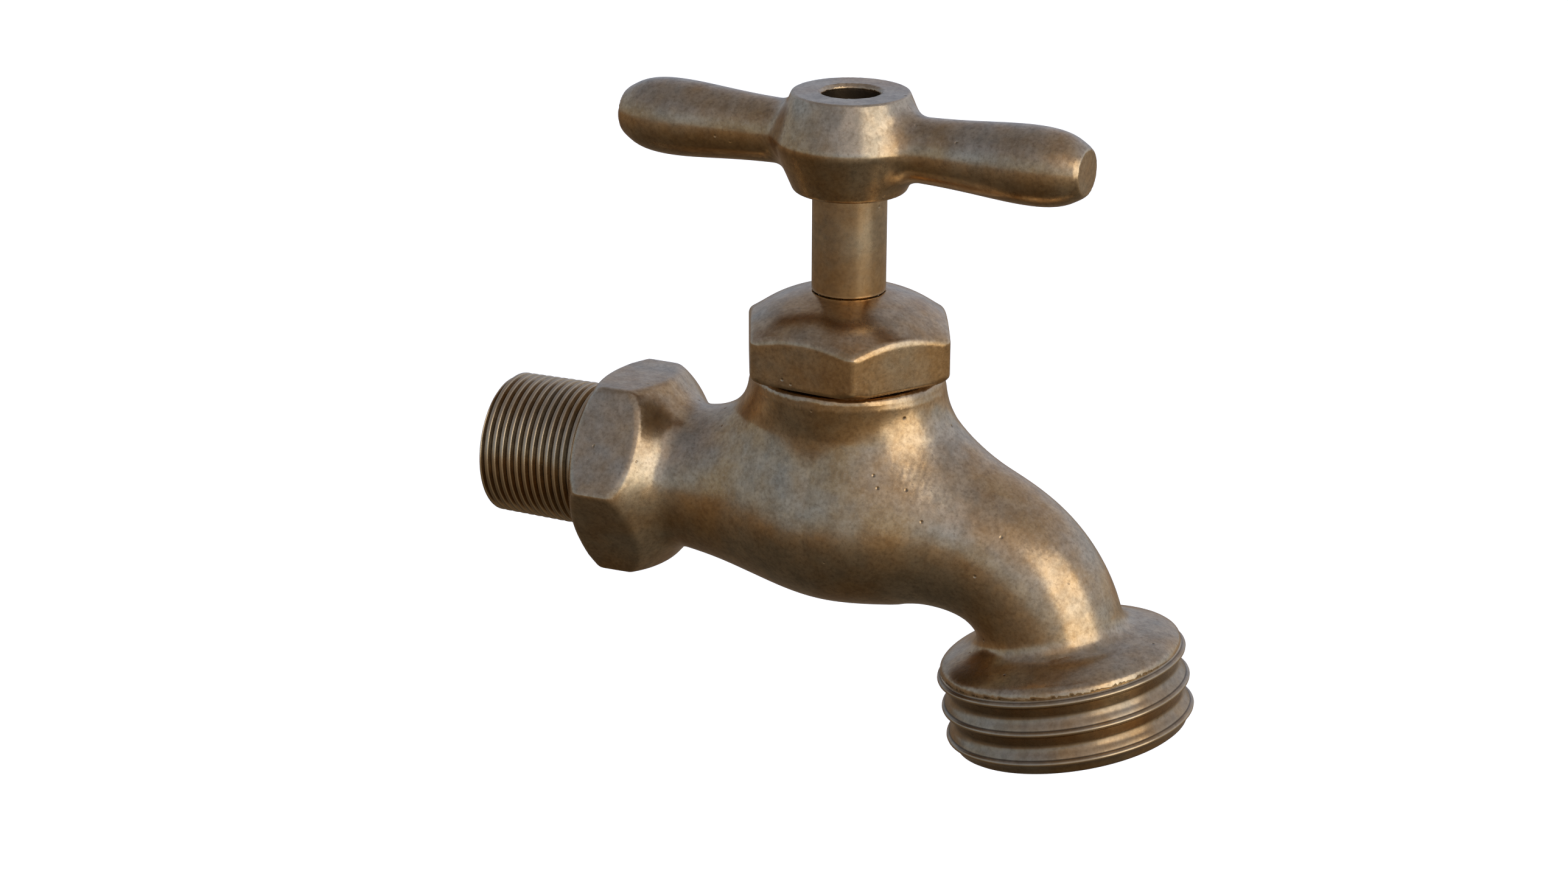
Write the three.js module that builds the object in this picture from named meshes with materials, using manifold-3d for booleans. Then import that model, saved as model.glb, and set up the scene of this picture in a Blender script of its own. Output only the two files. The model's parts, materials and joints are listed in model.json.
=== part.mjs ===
// Hose bib: a compression valve with a T-handle, a male supply thread and a male hose thread.
// Frame: millimetres, origin at the centre of the inlet end face, +X towards the spout, +Z up the spindle.
// The valve is shown closed. Every piece that comes apart on the bench is a mesh of its own.

import * as THREE from 'three';
import { mergeVertices } from 'three/addons/utils/BufferGeometryUtils.js';
import Module from 'manifold-3d';

const wasm = await Module();
wasm.setup();

// ---- driving dimensions ----

const STEM_X = 41.6;            // spindle axis, measured from the inlet end face
const ROUND_SEGMENTS = 24;      // facets around a turned piece
const FINE_SEGMENTS = 32;       // facets around the hose collar
const COARSE_SEGMENTS = 16;     // facets around the long inlet thread and the small holes
const CUT_OVERRUN = 1;          // how far a cutting tool runs past the surface it cuts
const BURY = 0.4;               // how deep a thread ridge is rooted in its core
const STACK_GAP = 0.1;          // between pieces stacked along the spindle
const RUNOUT_SINK = 0.05;       // how far a fading thread ridge sinks into its core
const SCREW_TIP_GAP = 0.5;      // between a screw's tip and the floor of its hole

const INLET = {
  rootRadius: 7.3,
  crestRadius: 7.93,
  pitch: 0.953,
  turns: 12,
  threadStart: 0.35,
  barrelLength: 13,
  boreRadius: 5,
  boreLength: 27.5,
};

const HEX = {
  acrossFlats: 21.2,
  axisZ: -0.4,                  // the casting's hex sits a little below the inlet axis
  start: 12.3,
  end: 22.8,
  startRadius: 10,
  cornerStart: 14.3,
  cornerEnd: 18.1,
  neckRadius: 8.2,
};

// Spout centreline: distance from the spindle axis, height and outer radius.
const SPOUT_TUBE = [
  { x: -24, z: -0.3, radius: 8 },
  { x: -18, z: -0.45, radius: 8.1 },
  { x: -10, z: -1, radius: 8.8 },
  { x: 0, z: -1.85, radius: 9.6 },
  { x: 8, z: -1, radius: 9.7 },
  { x: 14, z: -2, radius: 8.4 },
  { x: 19.8, z: -4.8, radius: 7.8 },
  { x: 23.8, z: -10.7, radius: 7.9 },
  { x: 24.5, z: -15, radius: 8.2 },
];

// Water way from the chamber above the seat to the outlet.
const OUTLET_WAY = [
  { x: 2, z: 5.4, radius: 3.2 },
  { x: 7, z: 4.9, radius: 3.4 },
  { x: 10.5, z: 2.8, radius: 4.2 },
  { x: 14.5, z: -0.6, radius: 4.9 },
  { x: 19.4, z: -4.9, radius: 5.4 },
  { x: 23.5, z: -10.8, radius: 5.6 },
  { x: 24.6, z: -15.4, radius: 6 },
  { x: 25.7, z: -20, radius: 6.2 },
];

// Water way from the inlet bore down under the seat.
const INLET_WAY = [
  { x: -16.5, z: 0.9, radius: 3.2 },
  { x: -14, z: -0.3, radius: 3.2 },
  { x: 0, z: -7, radius: 3.2 },
];

const OUTLET = {
  tilt: THREE.MathUtils.degToRad(10.9),
  ridgeX: 25.35,                // first ridge, from the spindle axis
  ridgeZ: -14.76,
  pitch: 3.3,
  rootRadius: 12.4,
  crestRadius: 13.5,
  rimRadius: 12.3,
  rimEnd: 8,                    // rim past the first ridge, along the outlet
  boreRadius: 6.2,
  recessRadius: 9.3,
  recessDepth: 4.5,
};

const HOSE_THREAD_FIRST_STEP = 6; // of FINE_SEGMENTS: the thread starts at the back, against the shoulder

const NECK = {
  radius: 10.2,
  shoulderZ: 14.9,
  topZ: 19.5,
  flareTopZ: 12,
  flareBottomZ: 4,
  flareInlet: 6,                // how far the flare spreads towards the inlet
  flareSpout: 8,                // and towards the spout
  flareSideTaper: 0.1,          // share of its width that it loses towards its foot
  rootRadius: 8.3,
  crestRadius: 8.9,
  counterboreRadius: 7,
  counterboreZ: 15.1,
};

const GLAND_THREAD_PITCH = 1.4;

const CHAMBER = {
  radius: 6.8,
  floorZ: 1.4,
  topZ: 7.6,
};

const SEAT = {
  pocketRadius: 4.8,
  pocketZ: -0.3,
  portRadius: 3.2,
  portBottomZ: -7,
  outerRadius: 4.5,
  bottomZ: 0,
  crownZ: 2.8,
  keyAcrossFlats: 5.6,
};

const STEM_THREAD = {
  lead: 1.6,
  maleRoot: 5.3,
  maleCrest: 6.1,
  femaleRoot: 6.4,
  femaleCrest: 5.6,
  femaleTopZ: 14.8,
};

const STEM = {
  bottomZ: 6.7,
  threadTopZ: 11,
  shankRadius: 3.45,
  shankTopZ: 23.6,
  spigotRadius: 2.9,
  spigotTopZ: 34.6,
  square: 4.1,
  topZ: 39.6,
  screwHoleRadius: 1.45,
  screwHoleDepth: 6.5,
};

const GLAND = {
  innerRadius: 3.75,
  outerRadius: 6.7,
  washerThickness: 0.7,
  ringThickness: 1.3,
  followerThickness: 1.5,
};

const NUT = {
  acrossFlats: 21.2,
  bottomZ: 15.4,
  ceilingZ: 20.4,
  threadRoot: 9.2,
  threadCrest: 8.6,
  boreRadius: 3.75,
  topZ: 23.6,
  turn: THREE.MathUtils.degToRad(-64.6),
};

const SLEEVE = {
  innerRadius: 3.1,
  outerRadius: 3.95,
  bottomZ: 23.74,
  topZ: 34.6,
};

const HANDLE = {
  bottomZ: 34.7,
  topZ: 45.42,
  armZ: 40.05,
  halfLength: 26.93,
  turn: THREE.MathUtils.degToRad(-3.5),
  socket: 4.5,
  socketTopZ: 39.9,
  recessRadius: 3.08,
  recessZ: 41.2,
};

const DISC = {
  washerInner: 1.6,
  washerRadius: 4.7,
  washerThickness: 2.2,
  holderRadius: 5.3,
  rimInner: 4.95,
  plateThickness: 1.4,
  rimDrop: 1.3,
};

const SCREW = {
  shankRadius: 1.2,
  headRadius: 2.5,
  headHeight: 1.2,
  slotWidth: 0.8,
  slotDepth: 0.6,
  washerRadius: 2.6,
  washerHole: 1.5,
  washerThickness: 0.5,
};

// ---- solids: closed geometries in and out of the boolean library ----

function toSolid(geometry) {
  const bare = geometry.clone();
  bare.deleteAttribute('normal');
  bare.deleteAttribute('uv');
  const merged = mergeVertices(bare, 1e-5);
  const mesh = new wasm.Mesh({
    numProp: 3,
    vertProperties: new Float32Array(merged.attributes.position.array),
    triVerts: new Uint32Array(merged.index.array),
  });
  return new wasm.Manifold(mesh);
}

function toGeometry(solid) {
  const mesh = solid.getMesh();
  const geometry = new THREE.BufferGeometry();
  geometry.setAttribute('position', new THREE.BufferAttribute(mesh.vertProperties, 3));
  geometry.setIndex(new THREE.BufferAttribute(mesh.triVerts, 1));
  geometry.computeVertexNormals();
  return geometry;
}

function join(...solids) {
  return solids.reduce((whole, solid) => whole.add(solid));
}

function cut(solid, ...tools) {
  return tools.reduce((rest, tool) => rest.subtract(tool), solid);
}

// A turned solid about +Z. The profile lists [radius, z] pairs.
function turned(profile, segments = ROUND_SEGMENTS) {
  const points = profile.map(([radius, z]) => new THREE.Vector2(radius, z));
  const geometry = new THREE.LatheGeometry(points, segments);
  geometry.rotateX(Math.PI / 2);
  const solid = toSolid(geometry);
  if (solid.volume() > 0) {
    return solid;
  }
  const inverted = new THREE.LatheGeometry(points.reverse(), segments);
  inverted.rotateX(Math.PI / 2);
  return toSolid(inverted);
}

function rod(radius, z0, z1, segments = ROUND_SEGMENTS) {
  return turned([[0, z0], [radius, z0], [radius, z1], [0, z1]], segments);
}

function ring(innerRadius, outerRadius, z0, z1, segments = ROUND_SEGMENTS) {
  const profile = [
    [innerRadius, z0],
    [outerRadius, z0],
    [outerRadius, z1],
    [innerRadius, z1],
    [innerRadius, z0],
  ];
  return turned(profile, segments);
}

function block(sizeX, sizeY, z0, z1) {
  const geometry = new THREE.BoxGeometry(sizeX, sizeY, z1 - z0);
  geometry.translate(0, 0, (z0 + z1) / 2);
  return toSolid(geometry);
}

// A hexagonal prism about +Z with a corner at the given turn from +X.
function hexPrism(acrossFlats, z0, z1, turn = 0) {
  const cornerRadius = acrossFlats / Math.sqrt(3);
  const geometry = new THREE.CylinderGeometry(cornerRadius, cornerRadius, z1 - z0, 6);
  geometry.rotateX(Math.PI / 2);
  geometry.rotateZ(turn + Math.PI / 2);
  geometry.translate(0, 0, (z0 + z1) / 2);
  return toSolid(geometry);
}

// A right-hand thread ridge about +Z. It rises from rootRadius to crestRadius, outwards on a screw
// and inwards in a nut, and fades into its core at both ends. firstStep turns its start round the core.
function threadRidge(thread, perTurn = ROUND_SEGMENTS, firstStep = 0) {
  const { rootRadius, crestRadius, rootWidth, crestWidth, pitch, z0, turns } = thread;
  const steps = Math.round(turns * perTurn);
  const fadeSteps = perTurn / 4;
  const outwards = Math.sign(crestRadius - rootRadius);
  const geometry = new THREE.BoxGeometry(1, 1, 1, steps, 1, 1);
  const position = geometry.attributes.position;
  for (let i = 0; i < position.count; i += 1) {
    const step = (position.getX(i) + 0.5) * steps;
    const onCrest = position.getZ(i) > 0;
    const side = position.getY(i) * 2;
    const fade = Math.min(1, step / fadeSteps, (steps - step) / fadeSteps);
    const angle = ((firstStep + step) / perTurn) * 2 * Math.PI;
    const height = (crestRadius - rootRadius) * fade - outwards * RUNOUT_SINK * (1 - fade);
    const radius = onCrest ? rootRadius + height : rootRadius - outwards * BURY;
    const halfWidth = onCrest ? crestWidth / 2 : rootWidth / 2;
    const z = z0 + (step / perTurn) * pitch + side * halfWidth;
    position.setXYZ(i, radius * Math.cos(angle), radius * Math.sin(angle), z);
  }
  const solid = toSolid(geometry);
  if (solid.volume() > 0) {
    return solid;
  }
  return toSolid(flipped(geometry));
}

function flipped(geometry) {
  const result = geometry.clone();
  const index = result.index.array;
  for (let i = 0; i < index.length; i += 3) {
    [index[i], index[i + 1]] = [index[i + 1], index[i]];
  }
  return result;
}

// A round bar of changing radius along a smooth path in the XZ plane.
function bentBar(stations, around, along) {
  const path = new THREE.CatmullRomCurve3(stations.map((s) => new THREE.Vector3(s.x, 0, s.z)));
  const radii = new THREE.CatmullRomCurve3(stations.map((s, i) => new THREE.Vector3(i, s.radius, 0)));
  const geometry = new THREE.CylinderGeometry(1, 1, 1, around, along);
  const position = geometry.attributes.position;
  const alongPath = new THREE.Vector3();
  for (let i = 0; i < position.count; i += 1) {
    const t = THREE.MathUtils.clamp(position.getY(i) + 0.5, 0, 1);
    const centre = path.getPoint(t);
    const radius = radii.getPoint(t).y;
    alongPath.copy(path.getTangent(t));
    const up = position.getX(i) * radius;
    const across = position.getZ(i) * radius;
    position.setXYZ(i, centre.x - alongPath.z * up, across, centre.z + alongPath.x * up);
  }
  const solid = toSolid(geometry);
  return solid.volume() > 0 ? solid : toSolid(flipped(geometry));
}

// ---- body casting ----

// Turned about +Z, then laid down so that its own z becomes the distance from the inlet face.
function layAlongInlet(solid) {
  return solid.rotate([0, 90, 0]).translate([-STEM_X, 0, 0]);
}

// Turned about +Z, then set at the first hose ridge with +Z pointing out of the spout.
function layAlongOutlet(solid) {
  const degrees = 180 - THREE.MathUtils.radToDeg(OUTLET.tilt);
  return solid.rotate([0, degrees, 0]).translate([OUTLET.ridgeX, 0, OUTLET.ridgeZ]);
}

function inletBarrel() {
  const chamfer = 0.5;
  const barrel = turned([
    [0, 0],
    [INLET.rootRadius - chamfer, 0],
    [INLET.rootRadius, chamfer],
    [INLET.rootRadius, INLET.barrelLength],
    [0, INLET.barrelLength],
  ], COARSE_SEGMENTS);
  const thread = threadRidge({
    rootRadius: INLET.rootRadius,
    crestRadius: INLET.crestRadius,
    rootWidth: 0.85,
    crestWidth: 0.55,
    pitch: INLET.pitch,
    z0: INLET.threadStart + 0.45,
    turns: INLET.turns,
  }, COARSE_SEGMENTS);
  return layAlongInlet(join(barrel, thread));
}

// Wrench hex: chamfered towards the thread, domed towards the valve.
function inletHex() {
  const cornerRadius = HEX.acrossFlats / Math.sqrt(3);
  const prism = hexPrism(HEX.acrossFlats, HEX.start, HEX.end);
  const envelope = turned([
    [0, HEX.start],
    [HEX.startRadius, HEX.start],
    [cornerRadius, HEX.cornerStart],
    [cornerRadius, HEX.cornerEnd],
    [cornerRadius * 0.92, HEX.cornerEnd + 1.6],
    [cornerRadius * 0.8, HEX.cornerEnd + 3.2],
    [HEX.neckRadius, HEX.end],
    [0, HEX.end],
  ]);
  const cornersAtSides = prism.intersect(envelope).rotate([0, 0, 30]);
  return layAlongInlet(cornersAtSides).translate([0, 0, HEX.axisZ]);
}

// The neck spreads into the spout in front and behind, and keeps its width at the sides.
function neckFlare() {
  const height = NECK.flareTopZ - NECK.flareBottomZ;
  const geometry = new THREE.CylinderGeometry(1, 1, height, ROUND_SEGMENTS, 5);
  geometry.rotateX(Math.PI / 2);
  geometry.translate(0, 0, (NECK.flareTopZ + NECK.flareBottomZ) / 2);
  const position = geometry.attributes.position;
  for (let i = 0; i < position.count; i += 1) {
    const depth = (NECK.flareTopZ - position.getZ(i)) / height;
    const spread = position.getX(i) < 0 ? NECK.flareInlet : NECK.flareSpout;
    const halfLength = NECK.radius + spread * depth * depth;
    position.setX(i, position.getX(i) * halfLength);
    position.setY(i, position.getY(i) * NECK.radius * (1 - NECK.flareSideTaper * depth));
  }
  return toSolid(geometry);
}

function neck() {
  const round = 0.5;
  const barrel = turned([
    [0, 0],
    [NECK.radius * 0.9, 0],
    [NECK.radius, NECK.flareTopZ],
    [NECK.radius, NECK.shoulderZ - round],
    [NECK.radius - round, NECK.shoulderZ],
    [NECK.rootRadius, NECK.shoulderZ],
    [NECK.rootRadius, NECK.topZ],
    [0, NECK.topZ],
  ]);
  const thread = threadRidge({
    rootRadius: NECK.rootRadius,
    crestRadius: NECK.crestRadius,
    rootWidth: 0.85,
    crestWidth: 0.35,
    pitch: GLAND_THREAD_PITCH,
    z0: NECK.shoulderZ + 0.6,
    turns: 2.4,
  });
  return join(barrel, thread);
}

// The shallow shoulder, the barrel below it and the hose thread.
function hoseCollar() {
  const collar = turned([
    [0, -5],
    [8.3, -5],
    [8.6, -3.6],
    [9.6, -2.7],
    [11.2, -2.15],
    [12.4, -1.65],
    [13.1, -1],
    [13.1, -0.3],
    [OUTLET.rootRadius, 0.6],
    [OUTLET.rootRadius, OUTLET.rimEnd - 1],
    [OUTLET.rimRadius, OUTLET.rimEnd],
    [0, OUTLET.rimEnd],
  ], FINE_SEGMENTS);
  const thread = threadRidge({
    rootRadius: OUTLET.rootRadius,
    crestRadius: OUTLET.crestRadius,
    rootWidth: 2.2,
    crestWidth: 0.6,
    pitch: OUTLET.pitch,
    z0: -OUTLET.pitch / 2,
    turns: 2.75,
  }, FINE_SEGMENTS, HOSE_THREAD_FIRST_STEP);
  return layAlongOutlet(join(collar, thread));
}

function hoseBore() {
  const recessBottom = OUTLET.rimEnd - OUTLET.recessDepth;
  return layAlongOutlet(turned([
    [0, -2],
    [OUTLET.boreRadius, -2],
    [OUTLET.boreRadius, recessBottom],
    [OUTLET.recessRadius, recessBottom + 1.5],
    [OUTLET.recessRadius, OUTLET.rimEnd + CUT_OVERRUN],
    [0, OUTLET.rimEnd + CUT_OVERRUN],
  ]));
}

function valveBore() {
  return turned([
    [0, SEAT.portBottomZ],
    [SEAT.portRadius, SEAT.portBottomZ],
    [SEAT.portRadius, SEAT.pocketZ],
    [SEAT.pocketRadius, SEAT.pocketZ],
    [SEAT.pocketRadius, CHAMBER.floorZ],
    [CHAMBER.radius, CHAMBER.floorZ],
    [CHAMBER.radius, CHAMBER.topZ - 0.6],
    [STEM_THREAD.femaleRoot, CHAMBER.topZ],
    [STEM_THREAD.femaleRoot, NECK.counterboreZ],
    [NECK.counterboreRadius, NECK.counterboreZ],
    [NECK.counterboreRadius, NECK.topZ + CUT_OVERRUN],
    [0, NECK.topZ + CUT_OVERRUN],
  ]);
}

function bodyStemThread() {
  const z0 = CHAMBER.topZ + 0.6;
  const turns = (STEM_THREAD.femaleTopZ - z0 - 0.5) / STEM_THREAD.lead;
  return threadRidge({
    rootRadius: STEM_THREAD.femaleRoot,
    crestRadius: STEM_THREAD.femaleCrest,
    rootWidth: 0.7,
    crestWidth: 0.35,
    pitch: STEM_THREAD.lead,
    z0,
    turns,
  });
}

function bodyCasting() {
  const outside = join(
    bentBar(SPOUT_TUBE, ROUND_SEGMENTS, 20),
    inletBarrel(),
    inletHex(),
    neckFlare(),
    neck(),
    hoseCollar(),
  );
  const inletBore = layAlongInlet(rod(INLET.boreRadius, -CUT_OVERRUN, INLET.boreLength));
  const hollow = cut(
    outside,
    inletBore,
    bentBar(INLET_WAY, COARSE_SEGMENTS, 4),
    bentBar(OUTLET_WAY, COARSE_SEGMENTS, 12),
    inletPortFloor(),
    hoseBore(),
    valveBore(),
  );
  return join(hollow, bodyStemThread());
}

// The end of the water way under the seat is rounded.
function inletPortFloor() {
  const geometry = new THREE.SphereGeometry(SEAT.portRadius, COARSE_SEGMENTS, 8);
  geometry.translate(0, 0, SEAT.portBottomZ);
  return toSolid(geometry);
}

function seatRing() {
  const shell = turned([
    [0, SEAT.bottomZ],
    [SEAT.outerRadius, SEAT.bottomZ],
    [SEAT.outerRadius, CHAMBER.floorZ + 0.3],
    [SEAT.outerRadius - 0.2, SEAT.crownZ - 0.3],
    [SEAT.outerRadius - 0.5, SEAT.crownZ],
    [0, SEAT.crownZ],
  ]);
  const key = hexPrism(SEAT.keyAcrossFlats, SEAT.bottomZ - CUT_OVERRUN, SEAT.crownZ + CUT_OVERRUN);
  return cut(shell, key);
}

// ---- gland ----

const WASHER_Z = NECK.counterboreZ + STACK_GAP;
const FIRST_RING_Z = WASHER_Z + GLAND.washerThickness + STACK_GAP;
const SECOND_RING_Z = FIRST_RING_Z + GLAND.ringThickness + STACK_GAP;
const FOLLOWER_Z = SECOND_RING_Z + GLAND.ringThickness + STACK_GAP;

function packingWasher() {
  return ring(GLAND.innerRadius, GLAND.outerRadius, WASHER_Z, WASHER_Z + GLAND.washerThickness);
}

// A packing ring is a braided cord with rounded corners, pressed square.
function packingRing(bottomZ) {
  const topZ = bottomZ + GLAND.ringThickness;
  const corner = 0.3;
  return turned([
    [GLAND.innerRadius + corner, bottomZ],
    [GLAND.outerRadius - corner, bottomZ],
    [GLAND.outerRadius, bottomZ + corner],
    [GLAND.outerRadius, topZ - corner],
    [GLAND.outerRadius - corner, topZ],
    [GLAND.innerRadius + corner, topZ],
    [GLAND.innerRadius, topZ - corner],
    [GLAND.innerRadius, bottomZ + corner],
    [GLAND.innerRadius + corner, bottomZ],
  ]);
}

function glandFollower() {
  const topZ = FOLLOWER_Z + GLAND.followerThickness;
  const bevel = 0.5;
  return turned([
    [GLAND.innerRadius, FOLLOWER_Z],
    [GLAND.outerRadius, FOLLOWER_Z],
    [GLAND.outerRadius, topZ - bevel],
    [GLAND.outerRadius - bevel, topZ],
    [GLAND.innerRadius, topZ],
    [GLAND.innerRadius, FOLLOWER_Z],
  ]);
}

// Domed hexagonal packing nut, with a small lip around the stem.
function packingNut() {
  const cornerRadius = NUT.acrossFlats / Math.sqrt(3);
  const prism = hexPrism(NUT.acrossFlats, NUT.bottomZ, NUT.topZ + CUT_OVERRUN, NUT.turn);
  const envelope = turned([
    [0, NUT.bottomZ],
    [cornerRadius - 0.9, NUT.bottomZ],
    [cornerRadius, NUT.bottomZ + 0.7],
    [cornerRadius, 19.7],
    [10.5, 20.85],
    [9.1, 21.75],
    [7.7, 22.45],
    [6.3, 22.9],
    [4.6, 23.3],
    [4.2, NUT.topZ],
    [0, NUT.topZ],
  ], FINE_SEGMENTS);
  const cavity = turned([
    [0, NUT.bottomZ - CUT_OVERRUN],
    [NUT.threadRoot, NUT.bottomZ - CUT_OVERRUN],
    [NUT.threadRoot, NUT.ceilingZ - 0.5],
    [NUT.threadRoot - 0.5, NUT.ceilingZ],
    [NUT.boreRadius, NUT.ceilingZ],
    [NUT.boreRadius, NUT.topZ + CUT_OVERRUN],
    [0, NUT.topZ + CUT_OVERRUN],
  ]);
  const thread = threadRidge({
    rootRadius: NUT.threadRoot,
    crestRadius: NUT.threadCrest,
    rootWidth: 0.7,
    crestWidth: 0.3,
    pitch: GLAND_THREAD_PITCH,
    z0: NECK.shoulderZ + 0.6 + GLAND_THREAD_PITCH / 2,
    turns: 2.4,
  });
  return join(cut(prism.intersect(envelope), cavity), thread);
}

// ---- disc carrier ----

const DISC_WASHER_Z = SEAT.crownZ + STACK_GAP;
const HOLDER_PLATE_Z = DISC_WASHER_Z + DISC.washerThickness + STACK_GAP;

function seatWasher() {
  return ring(DISC.washerInner, DISC.washerRadius, DISC_WASHER_Z, DISC_WASHER_Z + DISC.washerThickness);
}

// A shallow cup that keeps the rubber washer from spreading.
function discHolder() {
  const topZ = HOLDER_PLATE_Z + DISC.plateThickness;
  const bevel = 0.4;
  return turned([
    [DISC.washerInner, HOLDER_PLATE_Z],
    [DISC.rimInner, HOLDER_PLATE_Z],
    [DISC.rimInner, HOLDER_PLATE_Z - DISC.rimDrop],
    [DISC.holderRadius, HOLDER_PLATE_Z - DISC.rimDrop],
    [DISC.holderRadius, topZ - bevel],
    [DISC.holderRadius - bevel, topZ],
    [DISC.washerInner, topZ],
    [DISC.washerInner, HOLDER_PLATE_Z],
  ]);
}

// ---- spindle ----

function stem() {
  const core = turned([
    [0, STEM.bottomZ],
    [STEM_THREAD.maleRoot, STEM.bottomZ],
    [STEM_THREAD.maleRoot, STEM.threadTopZ - 0.6],
    [STEM_THREAD.maleRoot - 0.6, STEM.threadTopZ],
    [STEM.shankRadius, STEM.threadTopZ],
    [STEM.shankRadius, STEM.shankTopZ - 0.2],
    [STEM.shankRadius - 0.2, STEM.shankTopZ],
    [STEM.spigotRadius, STEM.shankTopZ],
    [STEM.spigotRadius, STEM.spigotTopZ],
    [0, STEM.spigotTopZ],
  ]);
  const drive = block(STEM.square, STEM.square, STEM.spigotTopZ - CUT_OVERRUN, STEM.topZ);
  const bodyThreadZ = CHAMBER.topZ + 0.6;
  const z0 = bodyThreadZ + STEM_THREAD.lead / 2 - STEM_THREAD.lead;
  const thread = threadRidge({
    rootRadius: STEM_THREAD.maleRoot,
    crestRadius: STEM_THREAD.maleCrest,
    rootWidth: 0.85,
    crestWidth: 0.45,
    pitch: STEM_THREAD.lead,
    z0,
    turns: 1.85,
  });
  const topHole = rod(
    STEM.screwHoleRadius,
    STEM.topZ - STEM.screwHoleDepth,
    STEM.topZ + CUT_OVERRUN,
    COARSE_SEGMENTS,
  );
  const bottomHole = rod(
    STEM.screwHoleRadius,
    STEM.bottomZ - CUT_OVERRUN,
    STEM.bottomZ + STEM.screwHoleDepth,
    COARSE_SEGMENTS,
  );
  return cut(join(core, drive, thread), topHole, bottomHole);
}

function stemSleeve() {
  const round = 0.25;
  return turned([
    [SLEEVE.innerRadius, SLEEVE.bottomZ],
    [SLEEVE.outerRadius - round, SLEEVE.bottomZ],
    [SLEEVE.outerRadius, SLEEVE.bottomZ + round],
    [SLEEVE.outerRadius, SLEEVE.topZ],
    [SLEEVE.innerRadius, SLEEVE.topZ],
    [SLEEVE.innerRadius, SLEEVE.bottomZ],
  ]);
}

function handleArms() {
  const half = [
    [3.45, 0],
    [3.45, 8],
    [3.6, 11.5],
    [3.9, 16],
    [4.15, 20.5],
    [4.05, 23.2],
    [3.6, 25.2],
    [2.9, 26.5],
    [2.6, HANDLE.halfLength],
  ];
  const mirrored = half.slice(1).map(([radius, z]) => [radius, -z]).reverse();
  const profile = [[0, -HANDLE.halfLength], ...mirrored, ...half, [0, HANDLE.halfLength]];
  return turned(profile).rotate([0, 90, 0]).translate([0, 0, HANDLE.armZ]);
}

function handle() {
  const round = 0.4;
  const hub = turned([
    [0, HANDLE.bottomZ],
    [6.1 - round, HANDLE.bottomZ],
    [6.3, HANDLE.bottomZ + round],
    [7.7, 38.4],
    [8.2, 40],
    [7.8, 41.6],
    [6.3, HANDLE.topZ - round],
    [6.06 - round, HANDLE.topZ],
    [0, HANDLE.topZ],
  ]);
  const socket = block(HANDLE.socket, HANDLE.socket, HANDLE.bottomZ - CUT_OVERRUN, HANDLE.socketTopZ);
  const recess = rod(HANDLE.recessRadius, HANDLE.recessZ, HANDLE.topZ + CUT_OVERRUN);
  const screwHole = rod(SCREW.washerHole, HANDLE.bottomZ, HANDLE.topZ, COARSE_SEGMENTS);
  return cut(join(hub, handleArms()), socket, recess, screwHole);
}

// ---- screws and their washers ----

// A slotted screw with its head on top, its shank pointing down from headZ.
function slottedScrew(headZ, shankLength) {
  const topZ = headZ + SCREW.headHeight;
  const bevel = 0.3;
  const blank = turned([
    [0, headZ - shankLength],
    [SCREW.shankRadius, headZ - shankLength],
    [SCREW.shankRadius, headZ],
    [SCREW.headRadius, headZ],
    [SCREW.headRadius, topZ - bevel],
    [SCREW.headRadius - bevel, topZ],
    [0, topZ],
  ], COARSE_SEGMENTS);
  const slotLength = SCREW.headRadius * 2 + CUT_OVERRUN;
  const slot = block(slotLength, SCREW.slotWidth, topZ - SCREW.slotDepth, topZ + CUT_OVERRUN);
  return cut(blank, slot);
}

const LOCK_WASHER_Z = HANDLE.recessZ + STACK_GAP;
const HANDLE_SCREW_Z = LOCK_WASHER_Z + SCREW.washerThickness + STACK_GAP;
const RETAINER_Z = DISC_WASHER_Z - STACK_GAP / 2 - SCREW.washerThickness;
const WASHER_SCREW_Z = RETAINER_Z - STACK_GAP / 2;

// A split spring washer.
function lockWasher() {
  const topZ = LOCK_WASHER_Z + SCREW.washerThickness;
  const whole = ring(SCREW.washerHole, SCREW.washerRadius, LOCK_WASHER_Z, topZ);
  const split = block(SCREW.washerRadius + CUT_OVERRUN, 0.5, LOCK_WASHER_Z - CUT_OVERRUN, topZ + CUT_OVERRUN)
    .translate([SCREW.washerRadius / 2 + CUT_OVERRUN, 0, 0]);
  return cut(whole, split);
}

function handleScrew() {
  const holeFloorZ = STEM.topZ - STEM.screwHoleDepth;
  return slottedScrew(HANDLE_SCREW_Z, HANDLE_SCREW_Z - holeFloorZ - SCREW_TIP_GAP);
}

function retainerWasher() {
  return ring(SCREW.washerHole, SCREW.washerRadius, RETAINER_Z, RETAINER_Z + SCREW.washerThickness);
}

// Holds the disc on the stem from below, so it is the same screw turned over.
function washerScrew() {
  const length = STEM.bottomZ + STEM.screwHoleDepth - SCREW_TIP_GAP - WASHER_SCREW_Z;
  return slottedScrew(0, length).rotate([180, 0, 0]).translate([0, 0, WASHER_SCREW_Z]);
}

// ---- scene graph ----

const PATINA_BRASS = { color: 0x7d603f, roughness: 0.42, metalness: 1 };
const CLEAN_BRASS = { color: 0xb08d4f, roughness: 0.35, metalness: 1 };
const STEEL = { color: 0x9a9a97, roughness: 0.4, metalness: 1 };
const RUBBER = { color: 0x1b1b1c, roughness: 0.85, metalness: 0 };
const GRAPHITE = { color: 0x2c2d30, roughness: 0.7, metalness: 0.1 };

function piece(name, solid, look) {
  const mesh = new THREE.Mesh(toGeometry(solid), new THREE.MeshStandardMaterial(look));
  mesh.name = name;
  return mesh;
}

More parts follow.
